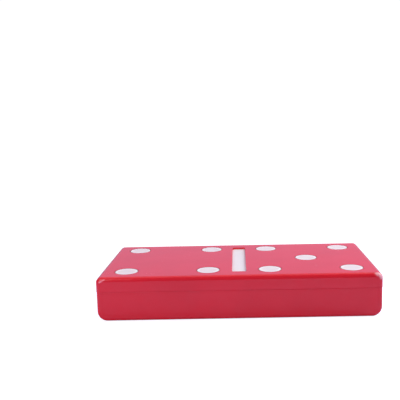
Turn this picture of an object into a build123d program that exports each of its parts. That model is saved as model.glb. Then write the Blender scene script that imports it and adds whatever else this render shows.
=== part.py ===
from build123d import *
import os

# A games case shaped like a giant double tile: a four on the left, a five on the right.
# Frame: +X along the length, +Y to the back, +Z up. Origin: middle of the underside.
# All sizes are in millimetres.

# Case, outside
LENGTH = 320
WIDTH = 160
HEIGHT = 50
TOP_END_RADIUS = 6
BOTTOM_END_RADIUS = 11
LID_EDGE_RADIUS = 5
BASE_EDGE_RADIUS = 3.5

# Case, walls and the seam between lid and base
SEAM_HEIGHT = 33.4
SEAM_GAP = 0.15
OVERHANG = 0.5
REST_GAP = 0.15
GLUE_GAP = 0.1
LID_WALL = 2.2
BASE_WALL = 2.4
BASE_HOLLOW_RADIUS = 2.6
RIM_SOFTENING = 0.2

# Lip that stands up inside the lid
LIP_CLEARANCE = 0.3
LIP_THICKNESS = 1.8
LIP_RISE = 5
LIP_ROOT = 6
LIP_CORNER = 2.5

# White inlays of the lid
PIP_DIAMETER = 25.6
PIP_NEAR_CENTRE = 35.5
PIP_FAR_FROM_CENTRE = 129.5
PIP_ACROSS = 52.3
PIP_FLANGE = 2
PIP_FLANGE_HEIGHT = 1.2
PIP_DISH_DEPTH = 0.4
PIP_DISH_MARGIN = 1
INLAY_GAP = 0.12
INLAY_EDGE = 0.3
BAR_SLOT_LENGTH = 121
BAR_SLOT_WIDTH = 16.2
BAR_SLOT_CORNER = 2
BAR_FLANGE = 3
BAR_THICKNESS = 1.5

# Folding board under the tray
BOARD_LENGTH = 290
BOARD_DEPTH = 142
BOARD_LEAF = 4.6
BOARD_FOLD_GAP = 0.4
BOARD_CORNER = 4
BOARD_MARGIN = 7
BOARD_SHEET = 0.6
BOARD_SHEET_CORNER = 1
SPINE_STRIP = 0.4
SPINE_LAP = 9
SPINE_INSET = 12

# Tray of thin formed plastic
TRAY_SHEET = 1
TRAY_EDGE_GAP = 0.8
TRAY_CORNER = 2.4
POCKET_CORNER = 1.5
POCKET_REACH_X = 153
POCKET_REACH_Y = 73
RIDGE = 4

# Tiles, two layers of two rows
TILE_LENGTH = 48
TILE_WIDTH = 24
TILE_HEIGHT = 7.5
TILE_EDGE = 1
TILE_GAP = 0.3
TILE_FINGER_ROOM = 1.5
TILE_COLUMNS = 7
TILE_ROWS = 2
TILE_LAYERS = 2
TILE_PROUD = 1.5
TILE_SPOT = 4.2
TILE_SPOT_DEPTH = 0.7
TILE_SPOT_STEP = 6.2
TILE_GROOVE = 1
TILE_GROOVE_DEPTH = 0.5
TILE_GROOVE_INSET = 2
HIGHEST_VALUE = 6

# Dice
DIE_SIZE = 12
DIE_EDGE = 1.2
DIE_SPOT = 2.6
DIE_SPOT_DEPTH = 0.5
DIE_SPOT_STEP = 3.1
DICE = 5
DIE_PITCH = 13.5
DIE_FINGER_ROOM = 6
DIE_END_ROOM = 1

# Draughts, rolled on their edges
DRAUGHT_DIAMETER = 21
DRAUGHT_THICKNESS = 5.2
DRAUGHT_PITCH = 5.5
DRAUGHTS_EACH = 15
DRAUGHT_RIM = 2.4
DRAUGHT_BOSS = 8
DRAUGHT_DISH = 0.6
DRAUGHT_EDGE = 0.5

# Playing cards in a plain tuck box
CARD_LENGTH = 88
CARD_WIDTH = 62
CARD_PACK_HEIGHT = 16
CARD_CORNER = 3
CARD_BOX_WALL = 0.5
CARD_BOX_GAP = 0.5
CARD_POCKET_ROOM = 2
CARD_FINGER_ROOM = 5

# Chessmen: the turned foot and collar that all share, then each man's height and head
CHESS_BASE = 17
CHESS_BASE_HEIGHT = 4
CHESS_BASE_STEP = 2
CHESS_WAIST = 6.4
CHESS_COLLAR = 9.5
CHESS_COLLAR_HEIGHT = 1.4
CHESS_SINK = 0.4
CHESS_FLOOR_GAP = 0.6
PAWN_HEIGHT = 17
PAWN_BALL = 8
ROOK_HEIGHT = 18.5
ROOK_TOWER = 5
ROOK_WIDTH = 10
ROOK_WELL = 7
ROOK_NOTCH = 1.6
ROOK_NOTCH_DEPTH = 1.5
KNIGHT_HEIGHT = 21
KNIGHT_NECK = 6.8
KNIGHT_NOSE = 4.9
KNIGHT_HEAD = 12.6
KNIGHT_THICKNESS = 4.4
KNIGHT_EDGE = 0.6
BISHOP_HEIGHT = 23
BISHOP_HAT = 7.8
BISHOP_HAT_WIDTH = 7.6
BISHOP_NECK = 5
BISHOP_BALL = 2.2
BISHOP_CUT = 0.7
BISHOP_CUT_SLANT = 40
QUEEN_HEIGHT = 25
QUEEN_CROWN = 6
QUEEN_CROWN_WIDTH = 9.2
QUEEN_BALL = 3.6
QUEEN_NOTCHES = 8
QUEEN_NOTCH = 1.3
KING_HEIGHT = 27
KING_CROWN = 6.4
KING_CROWN_WIDTH = 8.8
KING_CROSS = 3.8
KING_CROSS_ARM = 1.3
CROWN_NECK = 5.4

# Worked out from the above
LID_INSIDE_TOP = HEIGHT - LID_WALL
LIP_OUTSIDE_X = LENGTH / 2 - LID_WALL - LIP_CLEARANCE
LIP_OUTSIDE_Y = WIDTH / 2 - LID_WALL - LIP_CLEARANCE
LIP_TOP = SEAM_HEIGHT + LIP_RISE
DECK_TOP = LIP_TOP + REST_GAP + TRAY_SHEET
BOARD_BOTTOM = BASE_WALL + REST_GAP + SPINE_STRIP
BOARD_SHEET_LENGTH = BOARD_LENGTH - 2 * BOARD_MARGIN
BOARD_SHEET_DEPTH = BOARD_DEPTH - 2 * BOARD_MARGIN
BOARD_TOP = BOARD_BOTTOM + 2 * BOARD_LEAF + BOARD_FOLD_GAP
CHESS_FLOOR = BOARD_TOP + SPINE_STRIP + CHESS_FLOOR_GAP + TRAY_SHEET
FAR = 4 * LENGTH
QUARTER = 90

# Pockets of the tray: left, front, right, back
TILE_POCKET_LENGTH = TILE_COLUMNS * (TILE_WIDTH + TILE_GAP) + TILE_GAP
TILE_POCKET_DEPTH = TILE_ROWS * (TILE_LENGTH + TILE_GAP) + TILE_FINGER_ROOM
CARD_BOX_WIDTH = CARD_WIDTH + CARD_BOX_GAP + 2 * CARD_BOX_WALL
CARD_BOX_LENGTH = CARD_LENGTH + CARD_BOX_GAP + 2 * CARD_BOX_WALL
CARD_BOX_HEIGHT = CARD_PACK_HEIGHT + 2 * CARD_BOX_WALL
LEFT = -POCKET_REACH_X
RIGHT = POCKET_REACH_X
FRONT = -POCKET_REACH_Y
BACK = POCKET_REACH_Y
COLUMN_TWO = LEFT + TILE_POCKET_LENGTH + RIDGE
DICE_LEFT = COLUMN_TWO + CARD_BOX_WIDTH + CARD_POCKET_ROOM + RIDGE
COLUMN_THREE = DICE_LEFT + DIE_SIZE + DIE_FINGER_ROOM + RIDGE
CARD_FRONT = BACK - CARD_BOX_LENGTH - CARD_FINGER_ROOM
DRAUGHT_POCKET_DEPTH = (CARD_FRONT - RIDGE - FRONT - RIDGE) / 2


def case_block(length, width, bottom, top, bottom_radius, top_radius, edge_radius):
    """An upright slab: rounded ends seen from the front, and its front and back rims rounded all round."""
    outline = Rectangle(length, top - bottom)
    outline = fillet(outline.vertices().group_by(Axis.Y)[-1], top_radius)
    outline = fillet(outline.vertices().group_by(Axis.Y)[0], bottom_radius)
    block = extrude(Plane.XZ * Pos(0, (top + bottom) / 2) * outline, width / 2, both=True)
    rims = block.edges().group_by(Axis.Y)
    return fillet(rims[0] + rims[-1], edge_radius)


def above(solid, height):
    """The part of a solid over a height."""
    return solid & Pos(0, 0, height + FAR / 2) * Box(FAR, FAR, FAR)


def below(solid, height):
    """The part of a solid under a height."""
    return solid & Pos(0, 0, height - FAR / 2) * Box(FAR, FAR, FAR)


def slab(length, width, bottom, height, corner):
    """A flat plate with round corners."""
    return Pos(0, 0, bottom) * extrude(RectangleRounded(length, width, corner), height)


def disc(radius, bottom, height):
    """An upright cylinder that starts at a height."""
    return Pos(0, 0, bottom) * extrude(Circle(radius), height)


def pip_places():
    """Centres of the lid's spots by name: four on the left square, five on the right."""
    places = {}
    middle = (PIP_NEAR_CENTRE + PIP_FAR_FROM_CENTRE) / 2
    for side, sign in (("left", -1), ("right", 1)):
        for along, distance in (("inner", PIP_NEAR_CENTRE), ("outer", PIP_FAR_FROM_CENTRE)):
            for across, y in (("front", -PIP_ACROSS), ("back", PIP_ACROSS)):
                places[f"pip_{side}_{along}_{across}"] = (sign * distance, y)
    places["pip_right_middle"] = (middle, 0)
    return places


def lid_shell():
    """The lid: a shell open below, with a slot for the white bar and round holes for the spots."""
    outside = case_block(LENGTH, WIDTH, 0, HEIGHT, BOTTOM_END_RADIUS, TOP_END_RADIUS, LID_EDGE_RADIUS)
    hollow = case_block(
        LENGTH - 2 * LID_WALL, WIDTH - 2 * LID_WALL, 0, LID_INSIDE_TOP,
        BOTTOM_END_RADIUS, TOP_END_RADIUS - LID_WALL, LID_EDGE_RADIUS - LID_WALL,
    )
    lid = above(outside, SEAM_HEIGHT + SEAM_GAP / 2) - hollow
    lid = fillet(lid.edges().group_by(Axis.Z)[0], RIM_SOFTENING)
    lid -= slab(BAR_SLOT_WIDTH, BAR_SLOT_LENGTH, LID_INSIDE_TOP, LID_WALL, BAR_SLOT_CORNER)
    for x, y in pip_places().values():
        lid -= Pos(x, y, 0) * disc(PIP_DIAMETER / 2, LID_INSIDE_TOP, LID_WALL)
    top_face = lid.faces().filter_by(Plane.XY).group_by(Axis.Z)[-1][0]
    rims = [edge for wire in top_face.inner_wires() for edge in wire.edges()]
    return fillet(rims, INLAY_EDGE)


def white_bar():
    """The plate fixed under the lid's slot, seen at the bottom of it."""
    width = BAR_SLOT_WIDTH + 2 * BAR_FLANGE
    length = BAR_SLOT_LENGTH + 2 * BAR_FLANGE
    bottom = LID_INSIDE_TOP - GLUE_GAP - BAR_THICKNESS
    return slab(width, length, bottom, BAR_THICKNESS, BAR_SLOT_CORNER + BAR_FLANGE)


def pip():
    """A spot: a button pushed in from below, held by its flange, with a shallow dish on top."""
    radius = PIP_DIAMETER / 2 - INLAY_GAP
    flange_top = LID_INSIDE_TOP - GLUE_GAP
    button = disc(radius, flange_top, HEIGHT - flange_top)
    button = fillet(button.edges().group_by(Axis.Z)[-1], INLAY_EDGE)
    button += disc(radius + PIP_FLANGE, flange_top - PIP_FLANGE_HEIGHT, PIP_FLANGE_HEIGHT)
    rim = radius - PIP_DISH_MARGIN
    ball = (rim ** 2 + PIP_DISH_DEPTH ** 2) / (2 * PIP_DISH_DEPTH)
    return button - Pos(0, 0, HEIGHT - PIP_DISH_DEPTH + ball) * Sphere(ball)


def base_shell():
    """The base: a shell open above, with a thinner lip round its mouth that the lid slips over."""
    length = LENGTH - 2 * OVERHANG
    width = WIDTH - 2 * OVERHANG
    outside = case_block(length, width, 0, HEIGHT, BOTTOM_END_RADIUS, TOP_END_RADIUS, BASE_EDGE_RADIUS)
    hollow = case_block(
        length - 2 * BASE_WALL, width - 2 * BASE_WALL, BASE_WALL, HEIGHT,
        BOTTOM_END_RADIUS - BASE_WALL, TOP_END_RADIUS - BASE_WALL, BASE_HOLLOW_RADIUS,
    )
    base = below(outside, SEAM_HEIGHT - SEAM_GAP / 2) - hollow
    base = fillet(base.edges().group_by(Axis.Z)[-1], RIM_SOFTENING)
    mouth_x = LIP_OUTSIDE_X - LIP_THICKNESS
    mouth_y = LIP_OUTSIDE_Y - LIP_THICKNESS
    ring = RectangleRounded(2 * LIP_OUTSIDE_X, 2 * LIP_OUTSIDE_Y, LIP_CORNER)
    ring -= RectangleRounded(2 * mouth_x, 2 * mouth_y, LIP_CORNER / 2)
    return base + Pos(0, 0, SEAM_HEIGHT - LIP_ROOT) * extrude(ring, LIP_ROOT + LIP_RISE)


def fold_into_place(flat_piece, facing):
    """Lays a piece of a leaf in the closed board: facing 1 is the lower leaf, -1 the upper, turned over."""
    if facing > 0:
        return Pos(0, 0, BOARD_BOTTOM) * flat_piece
    return Pos(0, 0, BOARD_TOP) * Rot(180, 0, 0) * flat_piece


def board_leaf(facing):
    """One leaf of the folding board, with a shallow place for its playing sheet."""
    leaf = slab(BOARD_LENGTH, BOARD_DEPTH, 0, BOARD_LEAF, BOARD_CORNER)
    sheet_bottom = BOARD_LEAF - BOARD_SHEET
    leaf -= slab(BOARD_SHEET_LENGTH, BOARD_SHEET_DEPTH, sheet_bottom, BOARD_SHEET, BOARD_SHEET_CORNER)
    return fold_into_place(leaf, facing)


def board_sheet(facing):
    """The thin steel sheet that carries the squares and holds the magnetic men."""
    length = BOARD_SHEET_LENGTH - 2 * REST_GAP
    depth = BOARD_SHEET_DEPTH - 2 * REST_GAP
    bottom = BOARD_LEAF - BOARD_SHEET + GLUE_GAP
    sheet = slab(length, depth, bottom, BOARD_SHEET - GLUE_GAP, BOARD_SHEET_CORNER)
    return fold_into_place(sheet, facing)


def board_spine():
    """The flexible strip round the back edges of both leaves, which is the board's hinge."""
    length = BOARD_LENGTH - 2 * SPINE_INSET
    board_height = BOARD_TOP - BOARD_BOTTOM
    seat = (Align.CENTER, Align.MAX, Align.CENTER)
    outside = Box(length, SPINE_LAP + SPINE_STRIP, board_height + 2 * SPINE_STRIP, align=seat)
    inside = Box(length, SPINE_LAP, board_height + 2 * GLUE_GAP, align=seat)
    strip = outside - Pos(0, -SPINE_STRIP, 0) * inside
    return Pos(0, BOARD_DEPTH / 2 + GLUE_GAP + SPINE_STRIP, (BOARD_BOTTOM + BOARD_TOP) / 2) * strip


def pockets():
    """The tray's pockets by name: left, front, right, back and the height of the floor."""
    tile_stack = TILE_LAYERS * (TILE_HEIGHT + REST_GAP)
    tile_floor = DECK_TOP + TILE_PROUD - tile_stack
    tile_front = BACK - TILE_POCKET_DEPTH
    tile_right = COLUMN_TWO - RIDGE
    card_floor = DECK_TOP - CARD_BOX_HEIGHT
    dice_floor = DECK_TOP - DIE_SIZE
    roll_floor = DECK_TOP - DRAUGHT_DIAMETER
    roll_right = COLUMN_THREE - RIDGE
    roll_back = CARD_FRONT - RIDGE
    roll_middle = roll_back - DRAUGHT_POCKET_DEPTH
    return {
        "tiles": (LEFT, tile_front, tile_right, BACK, tile_floor),
        "light_men": (LEFT, FRONT, tile_right, tile_front - RIDGE, CHESS_FLOOR),
        "dark_men": (COLUMN_THREE, FRONT, RIGHT, BACK, CHESS_FLOOR),
        "cards": (COLUMN_TWO, CARD_FRONT, DICE_LEFT - RIDGE, BACK, card_floor),
        "dice": (DICE_LEFT, CARD_FRONT, roll_right, BACK, dice_floor),
        "light_draughts": (COLUMN_TWO, roll_middle, roll_right, roll_back, roll_floor),
        "dark_draughts": (COLUMN_TWO, FRONT, roll_right, roll_middle - RIDGE, roll_floor),
    }


def pocket_block(pocket, grow, top):
    """A pocket's inside, or its outside when grown by the sheet's thickness."""
    left, front, right, back, floor = pocket
    place = Pos((left + right) / 2, (front + back) / 2, floor - grow)
    shape = RectangleRounded(right - left + 2 * grow, back - front + 2 * grow, POCKET_CORNER + grow)
    return place * extrude(shape, top - floor + grow)


def tray():
    """The formed tray: a deck that lies on the lip, with seven pockets hanging from it."""
    length = 2 * (LIP_OUTSIDE_X - TRAY_EDGE_GAP)
    width = 2 * (LIP_OUTSIDE_Y - TRAY_EDGE_GAP)
    sheet = slab(length, width, LIP_TOP, TRAY_SHEET, TRAY_CORNER)
    for pocket in pockets().values():
        sheet += pocket_block(pocket, TRAY_SHEET, DECK_TOP)
    for pocket in pockets().values():
        sheet -= pocket_block(pocket, 0, DECK_TOP + TRAY_SHEET)
    return sheet


def spot_pattern(value, step):
    """Where the spots of a value lie on a square face, about its centre."""
    corners = [(step, step), (-step, -step)]
    other_corners = [(-step, step), (step, -step)]
    sides = [(-step, 0), (step, 0)]
    spots = []
    if value % 2:
        spots += [(0, 0)]
    if value >= 2:
        spots += corners
    if value >= 4:
        spots += other_corners
    if value == 6:
        spots += sides
    return spots


def dimple(diameter, depth):
    """A ball that cuts a round hollow of this width and depth into a face at height 0."""
    ball = ((diameter / 2) ** 2 + depth ** 2) / (2 * depth)
    return Pos(0, 0, ball - depth) * Sphere(ball)


def tile(first, second):
    """A tile lying face up: two squares of spots with a groove between them."""
    body = Box(TILE_WIDTH, TILE_LENGTH, TILE_HEIGHT, align=(Align.CENTER, Align.CENTER, Align.MIN))
    body = fillet(body.edges(), TILE_EDGE)
    groove = Box(TILE_WIDTH - 2 * TILE_GROOVE_INSET, TILE_GROOVE, 2 * TILE_GROOVE_DEPTH)
    cutters = [Pos(0, 0, TILE_HEIGHT) * groove]
    for value, centre in ((first, TILE_LENGTH / 4), (second, -TILE_LENGTH / 4)):
        for x, y in spot_pattern(value, TILE_SPOT_STEP):
            cutters.append(Pos(x, y + centre, TILE_HEIGHT) * dimple(TILE_SPOT, TILE_SPOT_DEPTH))
    return body - cutters


def tile_places():
    """Every pair of values and where its tile lies: the high pairs on top, where they show."""
    left, front, right, back, floor = pockets()["tiles"]
    pairs = [(a, b) for a in range(HIGHEST_VALUE + 1) for b in range(a, HIGHEST_VALUE + 1)]
    per_layer = TILE_COLUMNS * TILE_ROWS
    places = {}
    for index, pair in enumerate(pairs):
        layer, place = divmod(index, per_layer)
        row, column = divmod(place, TILE_COLUMNS)
        x = (left + right) / 2 + (column - (TILE_COLUMNS - 1) / 2) * (TILE_WIDTH + TILE_GAP)
        y = (front + back) / 2 + (row - (TILE_ROWS - 1) / 2) * (TILE_LENGTH + TILE_GAP)
        places[pair] = (x, y, floor + REST_GAP + layer * (TILE_HEIGHT + REST_GAP))
    return places


def die():
    """A die with opposite faces that add up to seven, centred on the origin."""
    body = Box(DIE_SIZE, DIE_SIZE, DIE_SIZE)
    body = fillet(body.edges(), DIE_EDGE)
    turns = {
        1: Rot(0, 0, 0), 6: Rot(2 * QUARTER, 0, 0),
        2: Rot(QUARTER, 0, 0), 5: Rot(-QUARTER, 0, 0),
        3: Rot(0, QUARTER, 0), 4: Rot(0, -QUARTER, 0),
    }
    cutters = []
    for value, turn in turns.items():
        for x, y in spot_pattern(value, DIE_SPOT_STEP):
            cutters.append(turn * Pos(x, y, DIE_SIZE / 2) * dimple(DIE_SPOT, DIE_SPOT_DEPTH))
    return body - cutters


def draught():
    """A draught standing on its edge, its axis along X, with a dished ring on both faces."""
    coin = Cylinder(DRAUGHT_DIAMETER / 2, DRAUGHT_THICKNESS)
    coin = fillet(coin.edges(), DRAUGHT_EDGE)
    ring = Cylinder(DRAUGHT_DIAMETER / 2 - DRAUGHT_RIM, 2 * DRAUGHT_DISH)
    ring -= Cylinder(DRAUGHT_BOSS / 2, 2 * DRAUGHT_DISH)
    for side in (-1, 1):
        coin -= Pos(0, 0, side * DRAUGHT_THICKNESS / 2) * ring
    return Rot(0, QUARTER, 0) * coin


def draught_roll(pocket_name):
    """Fifteen draughts side by side in their pocket."""
    left, front, right, back, floor = pockets()[pocket_name]
    middle = Pos((left + right) / 2, (front + back) / 2, floor + REST_GAP + DRAUGHT_DIAMETER / 2)
    steps = [(index - (DRAUGHTS_EACH - 1) / 2) * DRAUGHT_PITCH for index in range(DRAUGHTS_EACH)]
    return Compound(children=[middle * Pos(step, 0, 0) * draught() for step in steps])


def card_place():
    """The middle of the tuck box's underside: it lies against the back, with room for a finger in front."""
    left, front, right, back, floor = pockets()["cards"]
    return Pos((left + right) / 2, back - REST_GAP - CARD_BOX_LENGTH / 2, floor + REST_GAP)


def card_pack():
    """The squared-up pack of cards."""
    bottom = CARD_BOX_WALL + CARD_BOX_GAP / 2
    height = CARD_PACK_HEIGHT - CARD_BOX_GAP
    return card_place() * slab(CARD_WIDTH, CARD_LENGTH, bottom, height, CARD_CORNER)


def card_box():
    """The plain closed tuck box round the pack."""
    walls = 2 * CARD_BOX_WALL
    carton = fillet(Box(CARD_BOX_WIDTH, CARD_BOX_LENGTH, CARD_BOX_HEIGHT).edges(), CARD_BOX_WALL / 2)
    carton -= Box(CARD_BOX_WIDTH - walls, CARD_BOX_LENGTH - walls, CARD_BOX_HEIGHT - walls)
    return card_place() * Pos(0, 0, CARD_BOX_HEIGHT / 2) * carton


def turned(*edges):
    """A turned shape from edges drawn as (radius, height), from the middle of the foot to that of the top."""
    axis_line = Line(edges[-1] @ 1, edges[0] @ 0)
    return revolve(Plane.XZ * make_face([*edges, axis_line]), Axis.Z)


def chess_foot(shoulder):
    """The round base, a waist that draws in over it in a long hollow curve, and a round-rimmed collar."""
    base = CHESS_BASE / 2
    waist = CHESS_WAIST / 2
    collar = CHESS_COLLAR / 2
    step = base - CHESS_BASE_STEP
    rim = (base, CHESS_BASE_HEIGHT - CHESS_BASE_STEP)
    base_top = (step, CHESS_BASE_HEIGHT)
    hollow = (waist + (step - waist) / 4, (CHESS_BASE_HEIGHT + shoulder) / 2)
    collar_top = shoulder + CHESS_COLLAR_HEIGHT
    return turned(
        Line((0, 0), (base, 0)),
        Line((base, 0), rim),
        TangentArc(rim, base_top, tangent=(0, 1)),
        ThreePointArc(base_top, hollow, (waist, shoulder)),
        Line((waist, shoulder), (collar, shoulder)),
        TangentArc((collar, shoulder), (collar, collar_top), tangent=(1, 0)),
        Line((collar, collar_top), (0, collar_top)),
    )


def on_collar(shoulder, head):
    """A head set on the foot, sunk a little into the collar."""
    return chess_foot(shoulder) + Pos(0, 0, shoulder + CHESS_COLLAR_HEIGHT - CHESS_SINK) * head


def pawn():
    """A ball on the collar."""
    shoulder = PAWN_HEIGHT - PAWN_BALL - CHESS_COLLAR_HEIGHT + CHESS_SINK
    return on_collar(shoulder, Pos(0, 0, PAWN_BALL / 2) * Sphere(PAWN_BALL / 2))


def rook():
    """A round tower with four notches in the wall round its well."""
    shoulder = ROOK_HEIGHT - ROOK_TOWER - CHESS_COLLAR_HEIGHT + CHESS_SINK
    tower = disc(ROOK_WIDTH / 2, 0, ROOK_TOWER)
    tower -= disc(ROOK_WELL / 2, ROOK_TOWER - ROOK_NOTCH_DEPTH, ROOK_NOTCH_DEPTH)
    notch = Pos(0, 0, ROOK_TOWER) * Box(2 * ROOK_WIDTH, ROOK_NOTCH, 2 * ROOK_NOTCH_DEPTH)
    tower -= notch
    tower -= Rot(0, 0, QUARTER) * notch
    return on_collar(shoulder, tower)


def bishop():
    """A pointed hat with a slanting cut, and a small ball on its tip."""
    shoulder = BISHOP_HEIGHT - BISHOP_HAT - BISHOP_BALL - CHESS_COLLAR_HEIGHT + 2 * CHESS_SINK
    neck = (BISHOP_NECK / 2, 0)
    widest = (BISHOP_HAT_WIDTH / 2, BISHOP_HAT / 3)
    tip = (BISHOP_BALL / 4, BISHOP_HAT)
    hat = turned(
        Line((0, 0), neck),
        Spline(neck, widest, tip),
        Line(tip, (0, BISHOP_HAT)),
    )
    cut = Box(BISHOP_HAT_WIDTH, 2 * BISHOP_HAT_WIDTH, BISHOP_CUT)
    hat -= Pos(BISHOP_HAT_WIDTH / 2, 0, BISHOP_HAT * 3 / 4) * Rot(0, -BISHOP_CUT_SLANT, 0) * cut
    hat += Pos(0, 0, BISHOP_HAT + BISHOP_BALL / 2 - CHESS_SINK) * Sphere(BISHOP_BALL / 2)
    return on_collar(shoulder, hat)


def crown(height, width, rim_rise):
    """A cup that flares out from the neck in a hollow curve, closed by a low cone of its own rise."""
    neck = (CROWN_NECK / 2, 0)
    rim = (width / 2, height - rim_rise)
    return turned(
        Line((0, 0), neck),
        TangentArc(neck, rim, tangent=(0, 1)),
        Line(rim, (0, height)),
    )


def queen():
    """A crown cut by eight notches, with a ball in its middle."""
    shoulder = QUEEN_HEIGHT - QUEEN_CROWN - QUEEN_BALL - CHESS_COLLAR_HEIGHT + 2 * CHESS_SINK
    head = crown(QUEEN_CROWN, QUEEN_CROWN_WIDTH, CHESS_SINK)
    notch = Box(QUEEN_CROWN_WIDTH / 3, QUEEN_NOTCH, 2 * QUEEN_NOTCH)
    notch = Pos(QUEEN_CROWN_WIDTH / 2, 0, QUEEN_CROWN) * notch
    for index in range(QUEEN_NOTCHES):
        head -= Rot(0, 0, index * 4 * QUARTER / QUEEN_NOTCHES) * notch
    head += Pos(0, 0, QUEEN_CROWN + QUEEN_BALL / 2 - CHESS_SINK) * Sphere(QUEEN_BALL / 2)
    return on_collar(shoulder, head)


def king():
    """A crown that rises to a point, with a plain cross on it."""
    shoulder = KING_HEIGHT - KING_CROWN - KING_CROSS - CHESS_COLLAR_HEIGHT + 2 * CHESS_SINK
    head = crown(KING_CROWN, KING_CROWN_WIDTH, KING_CROSS_ARM)
    middle = Pos(0, 0, KING_CROWN + KING_CROSS / 2 - CHESS_SINK)
    head += middle * Box(KING_CROSS_ARM, KING_CROSS_ARM, KING_CROSS)
    head += middle * Box(KING_CROSS, KING_CROSS_ARM, KING_CROSS_ARM)
    return on_collar(shoulder, head)


def knight():
    """A horse's head in profile, looking to the front, with softened edges."""
    shoulder = KNIGHT_HEIGHT - KNIGHT_HEAD - CHESS_COLLAR_HEIGHT + CHESS_SINK
    nape = (KNIGHT_NECK / 2, 0)
    poll = (KNIGHT_NECK / 5, KNIGHT_HEAD)
    brow = (0, KNIGHT_HEAD * 0.88)
    nose = (-KNIGHT_NOSE, KNIGHT_HEAD * 0.45)
    chin = (-KNIGHT_NOSE * 0.8, KNIGHT_HEAD * 0.28)
    throat = (-KNIGHT_NECK / 6, KNIGHT_HEAD * 0.42)
    chest = (-KNIGHT_NECK / 2, 0)
    mane = ThreePointArc(nape, (KNIGHT_NECK * 0.55, KNIGHT_HEAD / 2), poll)
    face = Polyline(poll, brow, nose, chin, throat)
    front = ThreePointArc(throat, (-KNIGHT_NECK / 4, KNIGHT_HEAD * 0.2), chest)
    outline = make_face([mane, *face.edges(), front, Line(chest, nape)])
    head = extrude(Plane.YZ * outline, KNIGHT_THICKNESS / 2, both=True)
    sides = head.edges().group_by(Axis.X)
    return on_collar(shoulder, fillet(sides[0] + sides[-1], KNIGHT_EDGE))


def chess_set(pocket_name, along_x):
    """The pieces and the pawns of one side, standing in two rows of eight in their pocket."""
    left, front, right, back, floor = pockets()[pocket_name]
    run = (right - left) if along_x else (back - front)
    depth = (back - front) if along_x else (right - left)
    officers = [rook(), knight(), bishop(), queen(), king(), bishop(), knight(), rook()]
    middle = Pos((left + right) / 2, (front + back) / 2, floor + REST_GAP)
    turn = Rot(0, 0, 0) if along_x else Rot(0, 0, QUARTER)
    pieces = []
    pawns = []
    for index, officer in enumerate(officers):
        step = (index - (len(officers) - 1) / 2) * run / len(officers)
        pieces.append(middle * turn * Pos(step, depth / 4, 0) * officer)
        pawns.append(middle * turn * Pos(step, -depth / 4, 0) * pawn())
    return Compound(children=pieces), Compound(children=pawns)


def write(name, shape):
    """Writes one piece, named after its file."""
    shape.label = name
    export_step(shape, f"parts/{name}.step")
    print(name, round(shape.volume), "mm3")


def main():
    os.makedirs("parts", exist_ok=True)
    write("base_shell", base_shell())
    write("lid_shell", lid_shell())
    write("white_bar", white_bar())
    for name, (x, y) in pip_places().items():
        write(name, Pos(x, y, 0) * pip())
    for name, facing in (("lower", 1), ("upper", -1)):
        write(f"board_{name}_leaf", board_leaf(facing))
        write(f"board_{name}_sheet", board_sheet(facing))
    write("board_spine", board_spine())
    write("tray", tray())
    for (first, second), (x, y, z) in tile_places().items():
        write(f"domino_{first}_{second}", Pos(x, y, z) * tile(first, second))
    left, front, right, back, floor = pockets()["dice"]
    for index in range(DICE):
        turn = Rot(0, 0, index * QUARTER) * Rot(index * QUARTER, 0, 0)
        y = back - DIE_END_ROOM - DIE_SIZE / 2 - index * DIE_PITCH
        place = Pos((left + right) / 2, y, floor + REST_GAP + DIE_SIZE / 2)
        write(f"die_{index + 1}", place * turn * die())
    write("light_draughts", draught_roll("light_draughts"))
    write("dark_draughts", draught_roll("dark_draughts"))
    write("card_box", card_box())
    write("card_pack", card_pack())
    for side, along_x in (("light", True), ("dark", False)):
        pieces, pawns = chess_set(f"{side}_men", along_x)
        write(f"{side}_chess_pieces", pieces)
        write(f"{side}_chess_pawns", pawns)


main()
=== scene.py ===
# %% [markdown]
# # A games case shaped like a giant tile
#
# The object is a closed red plastic case with nine white spots and a white bar let into its lid.
# Its shells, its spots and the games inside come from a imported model, the frame, at real size.
# This lesson gives every surface its finish, makes the pieces that the frame leaves plain (the
# draughts and the folded card box) and lights the whole like the picture.

# %% Load the frame
import math
from functools import reduce

import bpy
import numpy as np
from mathutils import Matrix, Vector


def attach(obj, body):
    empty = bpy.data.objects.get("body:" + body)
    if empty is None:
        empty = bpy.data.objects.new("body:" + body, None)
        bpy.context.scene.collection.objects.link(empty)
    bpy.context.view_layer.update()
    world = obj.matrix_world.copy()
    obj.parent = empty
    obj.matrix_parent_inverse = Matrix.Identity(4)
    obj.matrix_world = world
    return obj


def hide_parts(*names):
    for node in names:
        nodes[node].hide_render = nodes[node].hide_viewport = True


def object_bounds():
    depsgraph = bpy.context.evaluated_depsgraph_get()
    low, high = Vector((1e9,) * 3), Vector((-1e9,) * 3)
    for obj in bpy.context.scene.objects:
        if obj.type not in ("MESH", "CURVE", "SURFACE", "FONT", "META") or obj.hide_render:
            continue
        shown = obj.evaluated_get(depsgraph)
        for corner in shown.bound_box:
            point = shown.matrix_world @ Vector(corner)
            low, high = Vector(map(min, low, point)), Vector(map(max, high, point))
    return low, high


# Millimetres in a metre
MM = 1000.0

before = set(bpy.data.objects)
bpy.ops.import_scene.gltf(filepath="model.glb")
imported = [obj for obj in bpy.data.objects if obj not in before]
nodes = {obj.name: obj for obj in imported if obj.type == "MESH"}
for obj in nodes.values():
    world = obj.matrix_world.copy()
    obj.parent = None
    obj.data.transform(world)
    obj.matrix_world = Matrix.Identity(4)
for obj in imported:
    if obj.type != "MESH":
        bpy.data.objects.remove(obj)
cad_low, cad_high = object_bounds()
print(len(nodes), "nodes, case", [round(side * MM, 1) for side in cad_high - cad_low], "mm")

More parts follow.
